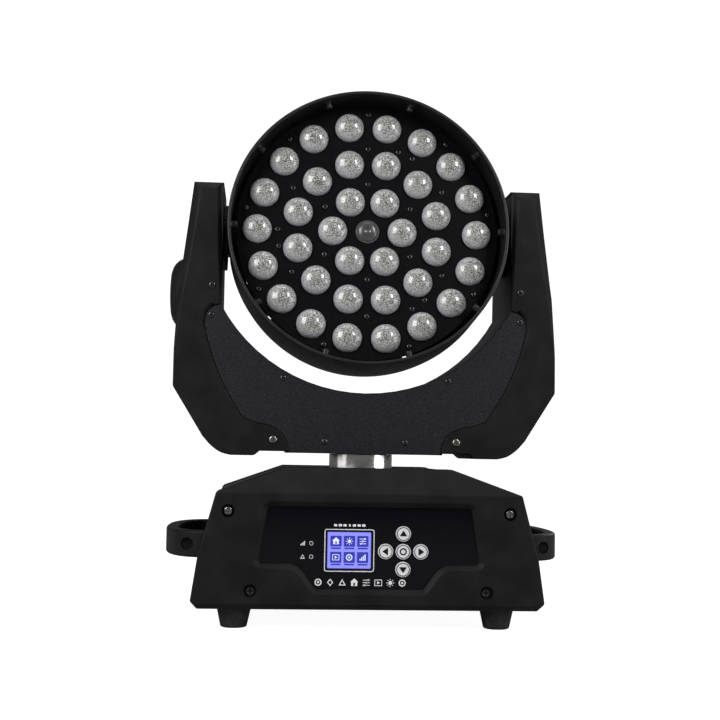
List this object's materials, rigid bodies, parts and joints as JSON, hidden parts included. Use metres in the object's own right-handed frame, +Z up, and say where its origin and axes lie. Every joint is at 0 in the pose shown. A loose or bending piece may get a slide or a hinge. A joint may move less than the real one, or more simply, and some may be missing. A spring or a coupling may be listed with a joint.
{
  "type": "moving head light",
  "caption": "Moving head wash light: a base with a display and keys, a yoke that pans on it, and a round lens head that tilts in the yoke and zooms.",
  "frame": {"origin": "centre of the bounding box's underside, at the feet's contact plane and on the pan axis", "axes": "+X to the object's right as seen from the front, -Y the front with the display, +Z up along the pan axis"},
  "size_m": [0.3589, 0.24, 0.484],
  "materials": {
    "cover_plastic": "fine-textured black moulded plastic",
    "powder_coat": "blue-black speckled powder coat",
    "gloss_panel": "gloss black panel",
    "display": "lit blue colour display",
    "key_cap": "satin white key caps",
    "socket_plastic": "black socket moulding",
    "rubber": "matt black rubber",
    "polished_steel": "polished steel",
    "motor_metal": "black motor case",
    "aluminium": "plain aluminium",
    "circuit_board": "green circuit board",
    "lens": "clear lenses with a mottled frosted rear"
  },
  "bodies": {
    "base": {"base_tray": "powder_coat", "base_top_cover": "powder_coat", "front_bezel": "cover_plastic", "rear_bezel": "cover_plastic", "display_panel": "gloss_panel", "lcd_module": "display", "control_board": "circuit_board", "rear_panel": "powder_coat", "power_inlet": "socket_plastic", "dmx_in_socket": "socket_plastic", "dmx_out_socket": "socket_plastic", "handle_left": "cover_plastic", "handle_right": "cover_plastic", "foot_front_left": "rubber", "foot_front_right": "rubber", "foot_rear_left": "rubber", "foot_rear_right": "rubber", "power_supply": "aluminium", "pan_shaft": "polished_steel", "pan_pulley": "aluminium"},
    "up_key": {"button_up": "key_cap"},
    "down_key": {"button_down": "key_cap"},
    "left_key": {"button_left": "key_cap"},
    "right_key": {"button_right": "key_cap"},
    "ok_key": {"button_ok": "key_cap"},
    "yoke": {"yoke_frame": "powder_coat", "yoke_front_plate": "powder_coat", "yoke_rear_plate": "powder_coat", "left_arm_cover": "cover_plastic", "right_arm_cover": "cover_plastic", "motor_cap": "cover_plastic", "pan_bearing": "polished_steel", "pan_motor": "motor_metal", "pan_belt": "rubber", "tilt_motor": "motor_metal", "tilt_belt": "rubber", "tilt_bearing_left": "polished_steel", "tilt_bearing_right": "polished_steel", "driver_board": "circuit_board"},
    "pan_drive": {"pan_pinion": "aluminium"},
    "tilt_drive": {"tilt_pinion": "aluminium"},
    "head": {"front_ring": "cover_plastic", "rear_housing": "cover_plastic", "rear_grille": "powder_coat", "head_frame": "powder_coat", "tilt_hub_left": "powder_coat", "tilt_hub_right": "powder_coat", "tilt_pulley": "aluminium", "heat_sink": "aluminium", "led_board": "circuit_board", "head_fan_frame": "cover_plastic", "zoom_motor_1": "motor_metal", "zoom_motor_2": "motor_metal", "zoom_motor_3": "motor_metal"},
    "fan": {"head_fan_rotor": "cover_plastic"},
    "lens_carriage": {"lens_plate": "powder_coat", "lens_array": "lens"},
    "screw_1": {"zoom_screw_1": "polished_steel"},
    "screw_2": {"zoom_screw_2": "polished_steel"},
    "screw_3": {"zoom_screw_3": "polished_steel"}
  },
  "joints": [
    {"name": "pan", "type": "hinge", "parent": "base", "child": "yoke", "pos_m": [0, 0, 0.15], "axis": [0, 0, 1], "range_deg": [-270, 270]},
    {"name": "tilt", "type": "hinge", "parent": "yoke", "child": "head", "pos_m": [0, 0, 0.35], "axis": [-1, 0, 0], "range_deg": [-51.11, 218.89]},
    {"name": "pan_pinion_turn", "type": "hinge", "parent": "yoke", "child": "pan_drive", "pos_m": [0.082, 0, 0.163], "axis": [0, 0, 1], "range_deg": [-1081, 1081]},
    {"name": "tilt_pinion_turn", "type": "hinge", "parent": "yoke", "child": "tilt_drive", "pos_m": [-0.145, 0, 0.296], "axis": [-1, 0, 0], "range_deg": [-205, 876]},
    {"name": "fan_spin", "type": "hinge", "parent": "head", "child": "fan", "pos_m": [0, 0, 0.35], "axis": [0, -0.9943, 0.1064], "continuous": true},
    {"name": "zoom", "type": "slide", "parent": "head", "child": "lens_carriage", "axis": [0, -0.9943, 0.1064], "range_m": [-0.008, 0.007]},
    {"name": "screw_1_turn", "type": "hinge", "parent": "head", "child": "screw_1", "pos_m": [0.03682, 0.00804, 0.42507], "axis": [0, -0.9943, 0.1064], "range_deg": [-316, 361]},
    {"name": "screw_2_turn", "type": "hinge", "parent": "head", "child": "screw_2", "pos_m": [-0.08389, -0.00047, 0.34563], "axis": [0, -0.9943, 0.1064], "range_deg": [-316, 361]},
    {"name": "screw_3_turn", "type": "hinge", "parent": "head", "child": "screw_3", "pos_m": [0.04818, -0.00732, 0.28158], "axis": [0, -0.9943, 0.1064], "range_deg": [-316, 361]},
    {"name": "press_up", "type": "slide", "parent": "base", "child": "up_key", "axis": [0, 1, 0], "range_m": [0, 0.0008], "stiffness_N_per_m": 1000},
    {"name": "press_down", "type": "slide", "parent": "base", "child": "down_key", "axis": [0, 1, 0], "range_m": [0, 0.0008], "stiffness_N_per_m": 1000},
    {"name": "press_left", "type": "slide", "parent": "base", "child": "left_key", "axis": [0, 1, 0], "range_m": [0, 0.0008], "stiffness_N_per_m": 1000},
    {"name": "press_right", "type": "slide", "parent": "base", "child": "right_key", "axis": [0, 1, 0], "range_m": [0, 0.0008], "stiffness_N_per_m": 1000},
    {"name": "press_ok", "type": "slide", "parent": "base", "child": "ok_key", "axis": [0, 1, 0], "range_m": [0, 0.0008], "stiffness_N_per_m": 1000}
  ],
  "couplings": [
    {"joint": "pan_pinion_turn", "follows": "pan", "ratio": -4},
    {"joint": "tilt_pinion_turn", "follows": "tilt", "ratio": 4},
    {"joint": "screw_1_turn", "follows": "zoom", "rad_per_m": -785.4},
    {"joint": "screw_2_turn", "follows": "zoom", "rad_per_m": -785.4},
    {"joint": "screw_3_turn", "follows": "zoom", "rad_per_m": -785.4}
  ]
}
